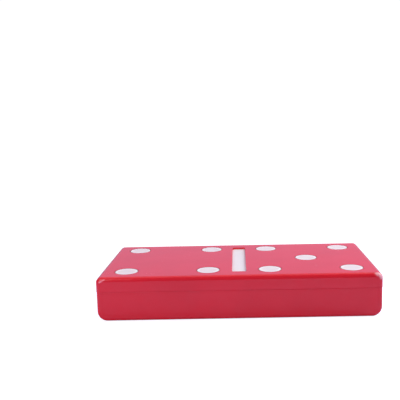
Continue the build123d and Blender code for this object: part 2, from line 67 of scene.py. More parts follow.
# %% [markdown]
# ## The camera
#
# The picture was taken from the front, a little above the lid, by a camera held almost level.
# The vertical edges stay upright and the near and far long edges are almost parallel, so the case
# is hardly turned: it only stands right of the middle of the view. A sideways lens shift gives that.
# The numbers come from a fit to the spots and the outline, done once, in real sizes.

# %% Camera
PHOTO_SIDE = 400
SENSOR_WIDTH = 36.0
FOCAL_PIXELS = 619.56
CENTRE_COLUMN = 236.90
CAMERA_PLACE = Vector((0.00022, -0.74569, 0.23286))
CAMERA_PITCH = math.radians(8.382)
CAMERA_ROLL = math.radians(-1.077)
CAMERA_YAW = math.radians(0.104)


def camera_turn(pitch, roll, yaw):
    """Looks along +Y, tipped down by pitch, rolled about the line of sight and turned by yaw."""
    level = Matrix.Rotation(yaw, 3, "Z") @ Matrix.Rotation(math.pi / 2 - pitch, 3, "X")
    return level @ Matrix.Rotation(roll, 3, "Z")


camera_data = bpy.data.cameras.new("front_camera")
camera_data.sensor_width = SENSOR_WIDTH
camera_data.lens = FOCAL_PIXELS / PHOTO_SIDE * SENSOR_WIDTH
camera_data.shift_x = (PHOTO_SIDE / 2 - CENTRE_COLUMN) / PHOTO_SIDE
camera = bpy.data.objects.new("front_camera", camera_data)
camera_facing = camera_turn(CAMERA_PITCH, CAMERA_ROLL, CAMERA_YAW).to_4x4()
camera.matrix_world = Matrix.Translation(CAMERA_PLACE) @ camera_facing
bpy.context.scene.collection.objects.link(camera)
bpy.context.scene.camera = camera
print("lens", round(camera_data.lens, 2), "mm, shift", round(camera_data.shift_x, 4))

# %% [markdown]
# ## Arithmetic with nodes
#
# A finish is a formula: it says how colour, gloss and relief change from place to place. Nodes can
# be laid out by hand in the editor, but a long formula is easier to read as text. So each method
# below adds one node, feeds it numbers or the outputs of other nodes, and gives its output.

# %% Node helper
class Wiring:
    """A tree of nodes that is being wired."""

    def __init__(self, tree):
        self.tree = tree

    def node(self, kind, **settings):
        """A new node with some of its settings."""
        made = self.tree.nodes.new(kind)
        for setting, value in settings.items():
            setattr(made, setting, value)
        return made

    def feed(self, socket, value):
        """Links a socket to an output, or sets it to a number or a colour."""
        if isinstance(value, bpy.types.NodeSocket):
            self.tree.links.new(value, socket)
        elif value is not None:
            socket.default_value = value

    def math(self, operation, *values):
        """One sum, product, comparison and so on of numbers."""
        made = self.node("ShaderNodeMath", operation=operation)
        for socket, value in zip(made.inputs, values):
            self.feed(socket, value)
        return made.outputs[0]

    def times(self, first, second):
        """The product of two numbers."""
        return self.math("MULTIPLY", first, second)

    def less(self, first, second):
        """The first number less the second."""
        return self.math("SUBTRACT", first, second)

    def unsigned(self, value):
        """A number without its sign."""
        return self.math("ABSOLUTE", value)

    def apart(self, first, second):
        """The distance between two numbers."""
        return self.unsigned(self.less(first, second))

    def most(self, *values):
        """The largest of several numbers."""
        return reduce(lambda one, other: self.math("MAXIMUM", one, other), values)

    def least(self, *values):
        """The smallest of several numbers."""
        return reduce(lambda one, other: self.math("MINIMUM", one, other), values)

    def vector(self, operation, *values, scale=None):
        """One sum, product, length and so on of vectors."""
        made = self.node("ShaderNodeVectorMath", operation=operation)
        for socket, value in zip(made.inputs, values):
            self.feed(socket, value)
        if scale is not None:
            made.inputs["Scale"].default_value = scale
        single = operation in ("LENGTH", "DISTANCE", "DOT_PRODUCT")
        return made.outputs["Value"] if single else made.outputs[0]

    def split(self, vector):
        """A vector's three numbers."""
        parts = self.node("ShaderNodeSeparateXYZ")
        self.feed(parts.inputs[0], vector)
        return parts.outputs

    def join(self, x, y, z):
        """A vector from three numbers."""
        made = self.node("ShaderNodeCombineXYZ")
        for socket, value in zip(made.inputs, (x, y, z)):
            self.feed(socket, value)
        return made.outputs[0]

    def step(self, value, low, high):
        """0 below low and 1 above high, with a smooth rise between; falls where low is the larger."""
        made = self.node("ShaderNodeMapRange", interpolation_type="SMOOTHSTEP")
        for name, given in (("Value", value), ("From Min", low), ("From Max", high)):
            self.feed(made.inputs[name], given)
        return made.outputs[0]

    def blend(self, share, first, second):
        """A number between two others."""
        return self.math("ADD", first, self.times(share, self.less(second, first)))

    def colours(self, share, first, second):
        """A colour between two others."""
        made = self.node("ShaderNodeMix", data_type="RGBA")
        self.feed(made.inputs[0], share)
        for socket, value in ((made.inputs[6], first), (made.inputs[7], second)):
            self.feed(socket, (*value, 1) if isinstance(value, tuple) else value)
        return made.outputs[2]


# %% [markdown]
# ## A workbench for finishes
#
# Every finish starts from the place of a point on the object, in millimetres, so that a scratch or
# a grain has its real size wherever it lies. A value that changes over the surface is linked to the
# shader, and one that stays the same is set on the shader itself.

# %% Finish helper
class Finish(Wiring):
    """A material being made: its shader, its tree and the place of each point in millimetres."""

    def __init__(self, name, colour, roughness):
        self.material = bpy.data.materials.new(name)
        self.material.use_nodes = True
        super().__init__(self.material.node_tree)
        self.shader = self.tree.nodes["Principled BSDF"]
        self.shader.inputs["Base Color"].default_value = (*colour, 1)
        self.shader.inputs["Roughness"].default_value = roughness
        self.place = self.vector("SCALE", self.node("ShaderNodeTexCoord").outputs["Object"], scale=MM)
        self.x, self.y, self.z = self.split(self.place)

    def noise(self, scale, place=None, detail=2.0, stretch=None):
        """Soft random waves; scale is in waves per millimetre."""
        made = self.node("ShaderNodeTexNoise")
        where = self.place if place is None else place
        if stretch is not None:
            where = self.vector("MULTIPLY", where, stretch)
        self.feed(made.inputs["Vector"], where)
        self.feed(made.inputs["Scale"], scale)
        self.feed(made.inputs["Detail"], detail)
        return made.outputs["Fac"]

    def bump(self, height, depth_mm, below=None):
        """A raised pattern: height from 0 to 1 stands for a depth in millimetres."""
        made = self.node("ShaderNodeBump")
        self.feed(made.inputs["Height"], height)
        made.inputs["Distance"].default_value = depth_mm / MM
        self.feed(made.inputs["Normal"], below)
        return made.outputs[0]

    def finish(self, colour=None, roughness=None, normal=None):
        """Wires what changes over the surface into the shader, and gives the material."""
        for name, value in (("Base Color", colour), ("Roughness", roughness), ("Normal", normal)):
            self.feed(self.shader.inputs[name], value)
        return self.material


def dress(material, *names):
    """Gives frame nodes their finish."""
    for name in names:
        slots = nodes[name].data.materials
        slots.clear()
        slots.append(material)
    print(material.name, "on", len(names), "nodes")


# %% [markdown]
# ## Marks that many finishes share
#
# Hairlines are the contour lines of a noise that is stretched some sixty times along the scratch:
# where it crosses its middle value a thin, nearly straight line runs. A second noise breaks them
# up. Specks of dust are small round cells, of which about one in ten is kept.

# %% Hairlines and specks
def hairlines(finish, turn, width, amount):
    """Thin broken scratches at an angle about the vertical, as a mask from 0 to 1."""
    turned = finish.node("ShaderNodeVectorRotate", rotation_type="Z_AXIS")
    finish.feed(turned.inputs["Vector"], finish.place)
    turned.inputs["Angle"].default_value = math.radians(turn)
    wave = finish.noise(1.0, place=turned.outputs[0], detail=1.0, stretch=(0.008, 0.5, 0.5))
    line = finish.step(finish.apart(wave, 0.5), width, 0.0)
    patches = finish.step(finish.noise(0.05, place=turned.outputs[0]), 1 - amount, 1.15 - amount)
    return finish.times(line, patches)


def specks(finish, pitch_mm, radius, kept):
    """Small round grains, a few of which are kept, as a mask from 0 to 1."""
    cells = finish.node("ShaderNodeTexVoronoi")
    finish.feed(cells.inputs["Vector"], finish.place)
    cells.inputs["Scale"].default_value = 1 / pitch_mm
    chosen = finish.step(finish.split(cells.outputs["Color"])[0], 1 - kept, 1 - kept / 2)
    return finish.times(chosen, finish.step(cells.outputs["Distance"], radius, radius / 2))


# %% [markdown]
# ## The floor
#
# The case stands on a plain white sweep that the picture shows as pure white, even close to the
# case. A floor that only scatters light can't come out that bright beside a red case that isn't
# too bright, so it also glows, but only for the camera: the light that it throws on the case stays
# that of a pale floor. Behind the case the sweep is grey under its glow: the rounded ends of the
# lid mirror it at their outermost edge, and in the picture they end in a fine dark line.

# %% Floor
FLOOR_REACH = 6.0
FLOOR_DROP = 0.0002
FLOOR_WHITE = (0.60, 0.66, 0.98)
FLOOR_GREY = (0.22, 0.17, 0.24)
NEAR_GLOW = 0.78
FAR_GLOW = 1.05
# Where a change starts and ends, in millimetres from the middle of the case
GLOW_ALL_ROUND = (700.0, 1300.0)
GLOW_BEHIND = (40.0, 300.0)
GREY_BEHIND = (40.0, 160.0)


def floor_sheet():
    """Four corners of a level square round the case, just under its feet."""
    corners = np.array([(-1, -1), (1, -1), (1, 1), (-1, 1)]) * FLOOR_REACH
    points = np.column_stack([corners, np.full(4, cad_low.z - FLOOR_DROP)])
    mesh = bpy.data.meshes.new("floor")
    mesh.from_pydata(points.tolist(), [], [(0, 1, 2, 3)])
    return bpy.data.objects.new("floor", mesh)


def sweep_paper():
    """Pale paper, grey behind the case, with a glow that only the camera sees."""
    made = Finish("white_sweep", FLOOR_WHITE, 0.8)
    away = made.step(made.vector("LENGTH", made.place), *GLOW_ALL_ROUND)
    glow = made.blend(made.most(away, made.step(made.y, *GLOW_BEHIND)), NEAR_GLOW, FAR_GLOW)
    seen = made.times(glow, made.node("ShaderNodeLightPath").outputs["Is Camera Ray"])
    made.shader.inputs["Specular IOR Level"].default_value = 0.2
    made.shader.inputs["Emission Color"].default_value = (1, 1, 1, 1)
    made.feed(made.shader.inputs["Emission Strength"], seen)
    return made.finish(made.colours(made.step(made.y, *GREY_BEHIND), FLOOR_WHITE, FLOOR_GREY))


floor = floor_sheet()
bpy.context.scene.collection.objects.link(floor)
floor.data.materials.append(sweep_paper())
print("floor", 2 * FLOOR_REACH, "m wide")

# %% [markdown]
# ## The surroundings
#
# A glossy case shows what stands round it. A picture of a whole room could be wrapped round the
# scene, but it would bring its own shapes into the gloss, and two tones are enough here. Behind the
# case is a pale, slightly blue wall, which the lid mirrors at its flat angle. Behind the camera it
# is dim, because the lower part of the rounded front edge mirrors that side, and in the picture it
# shows as a band of deep red.

# %% Surroundings
ROOM_WALL = (0.50, 0.46, 0.69)
ROOM_DIM = (0.13, 0.12, 0.15)
SEEN_WHITE = (1.05, 1.05, 1.05)
# The wall fades out upwards and towards the camera: where it is gone and where it is full
FADE_UP = (0.75, 0.35)
FADE_NEAR = (-0.1, 0.5)


def surroundings():
    """A sky with a pale wall low on the far side and dim elsewhere, which the camera sees as white."""
    world = bpy.data.worlds.new("studio_room")
    world.use_nodes = True
    made = Wiring(world.node_tree)
    x, y, z = made.split(made.node("ShaderNodeTexCoord").outputs["Generated"])
    wall = made.times(made.step(z, *FADE_UP), made.step(y, *FADE_NEAR))
    room = made.colours(wall, ROOM_DIM, ROOM_WALL)
    seen = made.colours(made.node("ShaderNodeLightPath").outputs["Is Camera Ray"], room, SEEN_WHITE)
    made.feed(made.tree.nodes["Background"].inputs["Color"], seen)
    return world


bpy.context.scene.world = surroundings()
bpy.context.scene.view_settings.view_transform = "Standard"
print("surroundings from", ROOM_DIM, "to", ROOM_WALL)

# %% [markdown]
# ## The lights
#
# One lamp overhead would light the case as well, but a glossy thing also shows where its lamps
# are, so each is placed by what the picture tells. The top is the brightest face, so a large soft
# window stands behind, to the right. The front is lit as well, so a tall light stands in front, to
# the left. The long front rim is bright at its top and turns deep red halfway down: it mirrors a
# wide dim panel overhead, which ends just short of the camera's side. A weak light from the left
# fills the shade.

# %% Soft lights
CASE_MIDDLE = (cad_low + cad_high) / 2
# Direction from the case, distance, width and height in metres, power in watts, colour
LAMPS = {
    "right_window": ((0.72, 0.27, 0.62), 1.5, 1.6, 1.2, 25.6, (1.0, 0.98, 0.96)),
    "left_strip": ((-0.53, -0.73, 0.45), 1.5, 0.55, 1.4, 10.3, (1.0, 0.98, 0.97)),
    "left_fill": ((-0.70, 0.25, 0.66), 1.8, 1.0, 1.0, 2, (0.96, 0.97, 1.0)),
    "ceiling_panel": ((0.0, 0.37, 0.93), 1.5, 1.3, 1.3, 3.5, (1.0, 0.97, 0.98)),
}


def softbox(name, direction, distance, width, height, power, colour):
    """A flat soft light that stands off the case in a direction and faces it."""
    data = bpy.data.lights.new(name, "AREA")
    data.shape = "RECTANGLE"
    data.size = width
    data.size_y = height
    data.energy = power
    data.color = colour
    light = bpy.data.objects.new(name, data)
    towards = Vector(direction).normalized()
    light.location = CASE_MIDDLE + towards * distance
    light.rotation_euler = towards.to_track_quat("Z", "Y").to_euler()
    bpy.context.scene.collection.objects.link(light)


for lamp, settings in LAMPS.items():
    softbox(lamp, *settings)
print("soft lights:", *LAMPS)

# %% [markdown]
# ## Where the case is marked
#
# Wear, painted shade and painted highlights follow the case's shape, so the first step is to say
# where its rims, its spots and its corners lie. How far a point lies inside two rounded faces at
# once tells how near it is to the middle of a rim. Eight of the nine spots are the corners of two
# like rectangles, so that taking signs away lays them on one; the ninth is the middle of the right
# square. A painted highlight on a corner follows a short line between two places, and noise frays
# its edge. All this could be painted on an unwrapped surface instead, but a formula of the place
# needs no unwrapping.

# %% Rims, spots and corners
RIM_RADIUS = 5.0
SPOT_COLUMN = 82.5
SPOT_HALF_PITCH = 47.0
SPOT_ROW = 52.3
FRAYED_BY = 0.7
MARK_EDGE = (1.15, 0.3)
case_high = cad_high * MM


def rim_depth(finish):
    """How far inside two of the case's rounded faces a point lies: most along the middle of a rim."""
    across = finish.less(finish.unsigned(finish.y), case_high.y - RIM_RADIUS)
    along = finish.less(finish.unsigned(finish.x), case_high.x - RIM_RADIUS)
    upright = finish.less(finish.apart(finish.z, case_high.z / 2), case_high.z / 2 - RIM_RADIUS)
    front_rim = finish.least(across, upright)
    end_rim = finish.least(along, upright)
    corner = finish.least(across, along)
    return finish.most(front_rim, end_rim, corner)


def spot_distance(finish):
    """Distance from the nearest white spot's centre."""
    column = finish.apart(finish.unsigned(finish.x), SPOT_COLUMN)
    aside = finish.less(column, SPOT_HALF_PITCH)
    ahead = finish.less(finish.unsigned(finish.y), SPOT_ROW)
    eight = finish.vector("LENGTH", finish.join(aside, ahead, 0.0))
    middle = finish.join(finish.less(finish.x, SPOT_COLUMN), finish.y, 0.0)
    return finish.least(eight, finish.vector("LENGTH", middle))


def mark_along(finish, start, end, reach):
    """A ragged mark round a line between two places. The line's nearest point lies at a share of its
    run: the distance along the run over its length, kept between 0 and 1."""
    run = Vector(end) - Vector(start)
    offset = finish.vector("SUBTRACT", finish.place, start)
    share = finish.math("DIVIDE", finish.vector("DOT_PRODUCT", offset, run), run.length_squared)
    share = finish.least(finish.most(share, 0.0), 1.0)
    nearest = finish.join(*(finish.times(share, part) for part in run))
    away = finish.math("DIVIDE", finish.vector("DISTANCE", offset, nearest), reach)
    fray = finish.blend(finish.noise(1.5, detail=5.0), -FRAYED_BY, FRAYED_BY)
    return finish.step(finish.math("ADD", away, fray), *MARK_EDGE)


print("spots", 2 * SPOT_HALF_PITCH, "mm apart, rims of", RIM_RADIUS, "mm")

# %% [markdown]
# ## Red case
#
# The shells are moulded in a glossy red plastic. Seen flat, the lid mirrors the room and turns
# pink; seen square on, the front is a deep red. The gloss isn't perfect: it has a faint waviness
# from the mould, soft smudges from hands, hairlines, and rims that are rubbed duller and paler.
# A ring of painted shade darkens the thin groove round each white spot, and a line of painted
# highlight pales the base's shoulder under the seam on the left. The two upper front corners carry
# painted highlights: a thin pale streak on the left and a broad pale patch on the right. Both
# shells use one finish, because its marks follow the case as a whole.

# %% Red case
RED = (0.80, 0.0135, 0.030)
RED_DEEP = (0.60, 0.008, 0.018)
RED_WEAR_AND_HIGHLIGHT = (0.84, 0.060, 0.075)
RED_SHADE = (0.22, 0.004, 0.010)
DUST_PALE = (0.85, 0.72, 0.70)
RED_GLOSS = 0.11
GROOVE_RADIUS = 13.0
GROOVE_REACH = 1.3
SHOULDER_HEIGHT = 32.9
# Where each mask is still 0 and where it is 1, in millimetres
RIM_RUBBED = (2.6, 3.6)
SHOULDER_HIGHLIGHT = (0.6, 0.2)
SHOULDER_LEFT = (60.0, -90.0)
# Each corner's painted highlight: the start, end and reach of its line, and its tone
CORNER_HIGHLIGHTS = (
    (((-155.4, -79.9, 45.0), (-150.0, -79.3, 48.0), 1.0), (0.97, 0.22, 0.28)),
    (((153.4, -77.8, 49.0), (158.2, -78.2, 45.4), 3.2), (0.97, 0.42, 0.46)),
)


def red_plastic():
    """Glossy red with smudges, hairlines, specks and worn rims; painted highlights on two corners and
    below the seam on the left, and painted shade round the spots.
    """
    made = Finish("red_gloss_plastic", RED, RED_GLOSS)
    broken = made.noise(0.35, detail=3.0)
    wear_and_highlight = made.times(made.step(rim_depth(made), *RIM_RUBBED), made.step(broken, 0.56, 0.72))
    lines = made.most(hairlines(made, 24, 0.0016, 0.42), hairlines(made, -61, 0.0012, 0.38))
    dust = specks(made, 9.0, 0.035, 0.10)
    on_top = made.step(made.z, case_high.z - 1.0, case_high.z - 0.6)
    from_groove = made.apart(spot_distance(made), GROOVE_RADIUS)
    # A ring of painted shade darkens the groove round each white spot.
    hollow_darkening = made.times(made.step(from_groove, GROOVE_REACH, GROOVE_REACH / 3), on_top)
    # A pale line of painted highlight runs along the base's shoulder under the seam, on the left.
    shoulder_highlight = made.step(made.apart(made.z, SHOULDER_HEIGHT), *SHOULDER_HIGHLIGHT)
    wear_and_highlight = made.most(wear_and_highlight, made.times(shoulder_highlight, made.step(made.x, *SHOULDER_LEFT)))
    cloud = made.times(made.step(made.noise(0.02, detail=3.0), 0.35, 0.75), 0.25)
    colour = made.colours(cloud, RED, RED_DEEP)
    # The rims in this mask are real wear; the shoulder line in it is a painted highlight.
    colour = made.colours(made.times(wear_and_highlight, 0.2), colour, RED_WEAR_AND_HIGHLIGHT)
    colour = made.colours(made.times(dust, 0.7), colour, DUST_PALE)
    colour = made.colours(made.times(lines, 0.12), colour, RED_WEAR_AND_HIGHLIGHT)
    colour = made.colours(made.times(hollow_darkening, 0.8), colour, RED_SHADE)
    # The pale marks on the two upper front corners are painted highlights.
    highlight_masks = [(mark_along(made, *line), tone) for line, tone in CORNER_HIGHLIGHTS]
    for highlight, tone in highlight_masks:
        colour = made.colours(highlight, colour, tone)
    smudge = made.step(made.noise(0.045, detail=4.0), 0.45, 0.75)
    roughness = made.blend(smudge, RED_GLOSS, RED_GLOSS + 0.07)
    # The painted corner highlights are also a little duller.
    corners = made.most(*(highlight for highlight, tone in highlight_masks))
    for mask, dull in ((wear_and_highlight, 0.22), (lines, 0.40), (dust, 0.7), (hollow_darkening, 0.45), (corners, 0.3)):
        roughness = made.blend(mask, roughness, dull)
    peel = made.bump(made.noise(0.22, detail=1.0), 0.012)
    cut = made.bump(made.less(1.0, lines), 0.004, below=peel)
    return made.finish(colour, roughness, cut)


dress(red_plastic(), "lid_shell", "base_shell")

# %% [markdown]
# ## White spots and bar
#
# The inlays are a satin white plastic with a cool cast, a little rougher than the case. Plain white
# would look like holes in the lid. The middle of each spot is painted a greyer, pinker white than
# its rim, and the rim has a hair of dust at its very edge. The bar lies deeper, so that dust
# settles along the foot of the walls round it.

# %% White inlays
WHITE = (0.95, 0.915, 0.93)
WHITE_GREYER = (0.84, 0.745, 0.77)
BAR_WHITE = (0.86, 0.85, 0.87)
DUST_SHADE = (0.42, 0.28, 0.29)
BAR_HALF_WIDTH = 8.1
BAR_HALF_LENGTH = 60.5
DUST_ASIDE = 0.25
DUST_AHEAD = 0.4
# Distances from a spot's centre between which a mask changes
GREY_MIDDLE_RADII = (11.2, 8.6)
EDGE_RADII = (12.45, 12.65)


def white_plastic(name, clean, film, edge):
    """Satin white, greyer where the mask film is 1, with dust where the mask edge is 1."""
    made = Finish(name, clean, 0.3)
    lines = hairlines(made, 12, 0.0016, 0.45)
    patchy = made.blend(made.noise(0.12, detail=3.0), 0.6, 1.1)
    colour = made.colours(made.times(film(made), patchy), clean, WHITE_GREYER)
    colour = made.colours(made.times(edge(made), 0.35), colour, DUST_SHADE)
    roughness = made.blend(made.noise(0.08, detail=4.0), 0.22, 0.42)
    roughness = made.blend(lines, roughness, 0.6)
    grain = made.bump(made.noise(1.6, detail=2.0), 0.003)
    cut = made.bump(made.less(1.0, lines), 0.003, below=grain)
    return made.finish(colour, roughness, cut)


# The middle of each spot is painted a greyer, pinker white than its rim.
def spot_grey_middle(finish):
    """The greyer middle of a spot."""
    return finish.step(spot_distance(finish), *GREY_MIDDLE_RADII)


def spot_edge(finish):
    """The dust at the very edge of a spot."""
    return finish.step(spot_distance(finish), *EDGE_RADII)


def bar_film(finish):
    """A faint film in soft patches along the bar."""
    return finish.step(finish.noise(0.05), 0.55, 0.85)


def bar_edge(finish):
    """The dusty line along the foot of the slot's walls."""
    aside = finish.step(finish.unsigned(finish.x), BAR_HALF_WIDTH - DUST_ASIDE, BAR_HALF_WIDTH)
    ahead = finish.step(finish.unsigned(finish.y), BAR_HALF_LENGTH - DUST_AHEAD, BAR_HALF_LENGTH)
    return finish.most(aside, ahead)


spots = [name for name in nodes if name.startswith("pip_")]
dress(white_plastic("white_spot_plastic", WHITE, spot_grey_middle, spot_edge), *spots)
dress(white_plastic("white_bar_plastic", BAR_WHITE, bar_film, bar_edge), "white_bar")

# %% [markdown]
# ## Folding coordinates
#
# The games lie in the tray in neat rows, so one finish can serve a whole row: the remainder after
# division by the pitch lays every piece of a row on top of one. A random number for each piece
# comes from the whole part of the same division, and shifts its colour a little, as no two moulded
# pieces are quite alike.

# %% Folding helpers
def fold(finish, value, middle, pitch):
    """Distance from the middle of the nearest place in a row: the remainder, moved to lie about 0."""
    shifted = finish.math("ADD", finish.less(value, middle), pitch / 2)
    return finish.less(finish.math("FLOORED_MODULO", shifted, pitch), pitch / 2)


def whole(finish, value, middle, pitch):
    """The number of the place in a row: the whole part after division by the pitch."""
    shifted = finish.math("ADD", finish.less(value, middle), pitch / 2)
    return finish.math("FLOOR", finish.math("DIVIDE", shifted, pitch))


def chance(finish, x, y, z):
    """A random number from 0 to 1 that is the same over one piece."""
    made = finish.node("ShaderNodeTexWhiteNoise")
    finish.feed(made.inputs["Vector"], finish.join(x, y, z))
    return made.outputs["Value"]


def between(finish, value, low, high, soft):
    """1 where a value lies between two others, with a soft rise at both."""
    above = finish.step(value, low - soft, low + soft)
    return finish.times(above, finish.step(value, high + soft, high - soft))


# %% [markdown]
# ## Tiles
#
# Each tile is a block of polished ivory-coloured plastic with moulded round hollows and a groove,
# both filled with black paint. The hollows are real in the frame. The paint needs no map of which
# tile has which number: it is simply wherever the surface lies lower than the tile's face, away
# from its rounded edges. Two layers of tiles give two face heights.

# %% Tiles
IVORY = (0.80, 0.70, 0.49)
IVORY_DEEP = (0.68, 0.55, 0.33)
IVORY_FLECK = (0.45, 0.34, 0.20)
IVORY_RUBBED = (0.86, 0.80, 0.64)
PAINT = (0.012, 0.011, 0.011)
TILE_ROW_X, TILE_PITCH_X = -67.8, 24.3
TILE_ROW_Y, TILE_PITCH_Y = 48.1, 48.3
# Heights of the two layers' faces, and one between the layers
TILE_FACES = (33.4, 41.05)
LAYER_SPLIT = 33.48
TILE_HALF_X, TILE_HALF_Y = 12.0, 24.0
PAINT_INSET = 1.1
PAINT_SOFT = 0.2
PAINT_TOP, PAINT_BOTTOM = 0.05, 0.85
FACE_PLAY = 0.02
TILE_RIM = 0.7


def tile_plastic():
    """Ivory with black paint below the face, paler on the rounded edges and different by tile."""
    made = Finish("ivory_tile_plastic", IVORY, 0.22)
    aside = made.unsigned(fold(made, made.x, TILE_ROW_X, TILE_PITCH_X))
    ahead = made.unsigned(fold(made, made.y, TILE_ROW_Y, TILE_PITCH_Y))
    inset_x, inset_y = TILE_HALF_X - PAINT_INSET, TILE_HALF_Y - PAINT_INSET
    inside_x = made.step(aside, inset_x, inset_x - PAINT_SOFT)
    inside = made.times(inside_x, made.step(ahead, inset_y, inset_y - PAINT_SOFT))
    hollows = (between(made, made.z, face - PAINT_BOTTOM, face - PAINT_TOP, FACE_PLAY)
               for face in TILE_FACES)
    paint = made.times(inside, made.most(*hollows))
    layer = made.math("GREATER_THAN", made.z, LAYER_SPLIT)
    column = whole(made, made.x, TILE_ROW_X, TILE_PITCH_X)
    row = whole(made, made.y, TILE_ROW_Y, TILE_PITCH_Y)
    shade = chance(made, column, row, layer)
    cloud = made.blend(made.noise(0.06, detail=3.0), made.times(shade, 0.35), 0.6)
    colour = made.colours(cloud, IVORY, IVORY_DEEP)
    flecks = made.times(specks(made, 1.3, 0.10, 0.16), 0.35)
    colour = made.colours(flecks, colour, IVORY_FLECK)
    rim_x = made.step(aside, TILE_HALF_X - TILE_RIM, TILE_HALF_X)
    rim = made.most(rim_x, made.step(ahead, TILE_HALF_Y - TILE_RIM, TILE_HALF_Y))
    colour = made.colours(made.times(rim, 0.3), colour, IVORY_RUBBED)
    colour = made.colours(paint, colour, PAINT)
    lines = made.most(hairlines(made, 35, 0.004, 0.5), hairlines(made, -48, 0.003, 0.45))
    roughness = made.blend(made.noise(0.09, detail=4.0), 0.16, 0.34)
    roughness = made.blend(lines, roughness, 0.5)
    roughness = made.blend(paint, roughness, 0.42)
    grain = made.bump(made.noise(0.9, detail=2.0), 0.004)
    made.shader.inputs["Specular IOR Level"].default_value = 0.45
    cut = made.bump(made.less(1.0, lines), 0.004, below=grain)
    return made.finish(colour, roughness, cut)


tiles = [name for name in nodes if name.startswith("domino_")]
dress(tile_plastic(), *tiles)

# %% [markdown]
# ## Dice
#
# The dice are white with the same black paint, on all six sides. A list of the hollows would do,
# but one rule serves them all. Seen from a die's middle, a point of a flat side has one coordinate
# of half the die's size; a point in a hollow has a largest coordinate a little under that, while
# the second largest is still away from the rounded edge.

# %% Dice
DIE_ROW_X, DIE_ROW_Z = 99.9, 33.7
DIE_ROW_Y, DIE_PITCH_Y = 39.0, 13.5
DIE_WHITE = (0.86, 0.84, 0.80)
DIE_FILM = (0.66, 0.60, 0.52)
# Distances from a die's middle between which a mask changes
PAINT_BELOW = (5.985, 5.955)
PAINT_WITHIN = (4.78, 4.74)
FILM_FROM = (4.6, 5.6)


def die_plastic():
    """White with painted hollows and a faint film on the rounded edges."""
    made = Finish("white_die_plastic", DIE_WHITE, 0.2)
    side_x = made.apart(made.x, DIE_ROW_X)
    side_y = made.unsigned(fold(made, made.y, DIE_ROW_Y, DIE_PITCH_Y))
    side_z = made.apart(made.z, DIE_ROW_Z)
    most = made.most(side_x, side_y, side_z)
    least = made.least(side_x, side_y, side_z)
    total = made.math("ADD", made.math("ADD", side_x, side_y), side_z)
    middle = made.less(made.less(total, most), least)
    paint = made.times(made.step(most, *PAINT_BELOW), made.step(middle, *PAINT_WITHIN))
    patchy = made.blend(made.noise(0.5, detail=3.0), 0.1, 0.7)
    film = made.times(made.step(middle, *FILM_FROM), patchy)
    colour = made.colours(film, DIE_WHITE, DIE_FILM)
    colour = made.colours(paint, colour, PAINT)
    roughness = made.blend(made.noise(0.2, detail=3.0), 0.14, 0.32)
    roughness = made.blend(paint, roughness, 0.45)
    return made.finish(colour, roughness, made.bump(made.noise(1.1, detail=2.0), 0.004))


dice = [name for name in nodes if name.startswith("die_")]
dress(die_plastic(), *dice)

# %% [markdown]
# ## Surfaces as arrays
#
# The frame leaves two things plain that a hand would notice: the draughts' rims and the card box.
# Both are made again here, each as a grid of points that is worked out all at once with arrays. One
# index runs along a profile, the other round or along the piece. The faces of such a grid are
# always neighbours in fours, so they come from the index numbers alone. A finished piece takes the
# place of its frame node and moves with the loaded tray.

# %% Grid helpers
def grid_faces(rows, columns, closed):
    """Fours of neighbours in a grid of points; closed joins the last column to the first."""
    index = np.arange(rows * columns).reshape(rows, columns)
    if closed:
        index = np.hstack([index, index[:, :1]])
    corners = (index[:-1, :-1], index[:-1, 1:], index[1:, 1:], index[1:, :-1])
    return np.stack(corners, axis=-1).reshape(-1, 4)


def arc(start, stop, count):
    """Points of a unit circle at even steps between two angles in degrees: cosine and sine."""
    angle = np.radians(np.linspace(start, stop, count))
    return np.column_stack([np.cos(angle), np.sin(angle)])


def add_piece(name, points, faces, materials, node):
    """Makes a smooth piece of the loaded tray from points in millimetres, in place of a frame node."""
    mesh = bpy.data.meshes.new(name)
    mesh.from_pydata((points / MM).tolist(), [], faces)
    mesh.polygons.foreach_set("use_smooth", np.ones(len(mesh.polygons), dtype=bool))
    for material in materials:
        mesh.materials.append(material)
    made = bpy.data.objects.new(name, mesh)
    bpy.context.scene.collection.objects.link(made)
    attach(made, "loaded_tray")
    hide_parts(node)
    print(name, "in place of", node, "with", len(mesh.polygons), "faces")
    return made


# %% [markdown]
# ## Men
#
# The men are cream or black satin plastic, with soft clouds in the colour, specks of dust and a
# mould grain. The chessmen are duller on the foot, where the colour has rubbed off, and keep fine
# turned rings up their height. They are shaped in the frame already, so they only get the finish.

# %% Chessmen
CREAM = (0.74, 0.63, 0.42)
CREAM_DEEP = (0.60, 0.46, 0.26)
BLACK = (0.022, 0.020, 0.020)
BLACK_SCUFFED = (0.075, 0.068, 0.062)
MEN_DUST = (0.50, 0.46, 0.42)
TURNED_PITCH = 0.6
FOOT_RUBBED = (19.0, 15.5)


def men_plastic(name, colour_clean, colour_worn, roughness):
    """Satin plastic with soft clouds, dust and a mould grain; gives the finish and its three parts."""
    made = Finish(name, colour_clean, roughness)
    cloud = made.step(made.noise(0.11, detail=4.0), 0.42, 0.72)
    colour = made.colours(made.times(cloud, 0.45), colour_clean, colour_worn)
    dust = specks(made, 2.2, 0.06, 0.12)
    colour = made.colours(made.times(dust, 0.4), colour, MEN_DUST)
    gloss = made.blend(made.noise(0.18, detail=4.0), roughness - 0.06, roughness + 0.12)
    grain = made.bump(made.noise(1.3, detail=3.0), 0.006)
    return made, colour, gloss, grain


def chess_plastic(name, colour_clean, colour_worn, roughness):
    """Men plastic that is duller on the foot, with fine turned rings up its height."""
    made, colour, gloss, grain = men_plastic(name, colour_clean, colour_worn, roughness)
    rings = made.math("SINE", made.times(made.z, 2 * math.pi / TURNED_PITCH))
    foot = made.times(made.step(made.z, *FOOT_RUBBED), 0.35)
    colour = made.colours(foot, colour, colour_worn)
    return made.finish(colour, gloss, made.bump(rings, 0.006, below=grain))


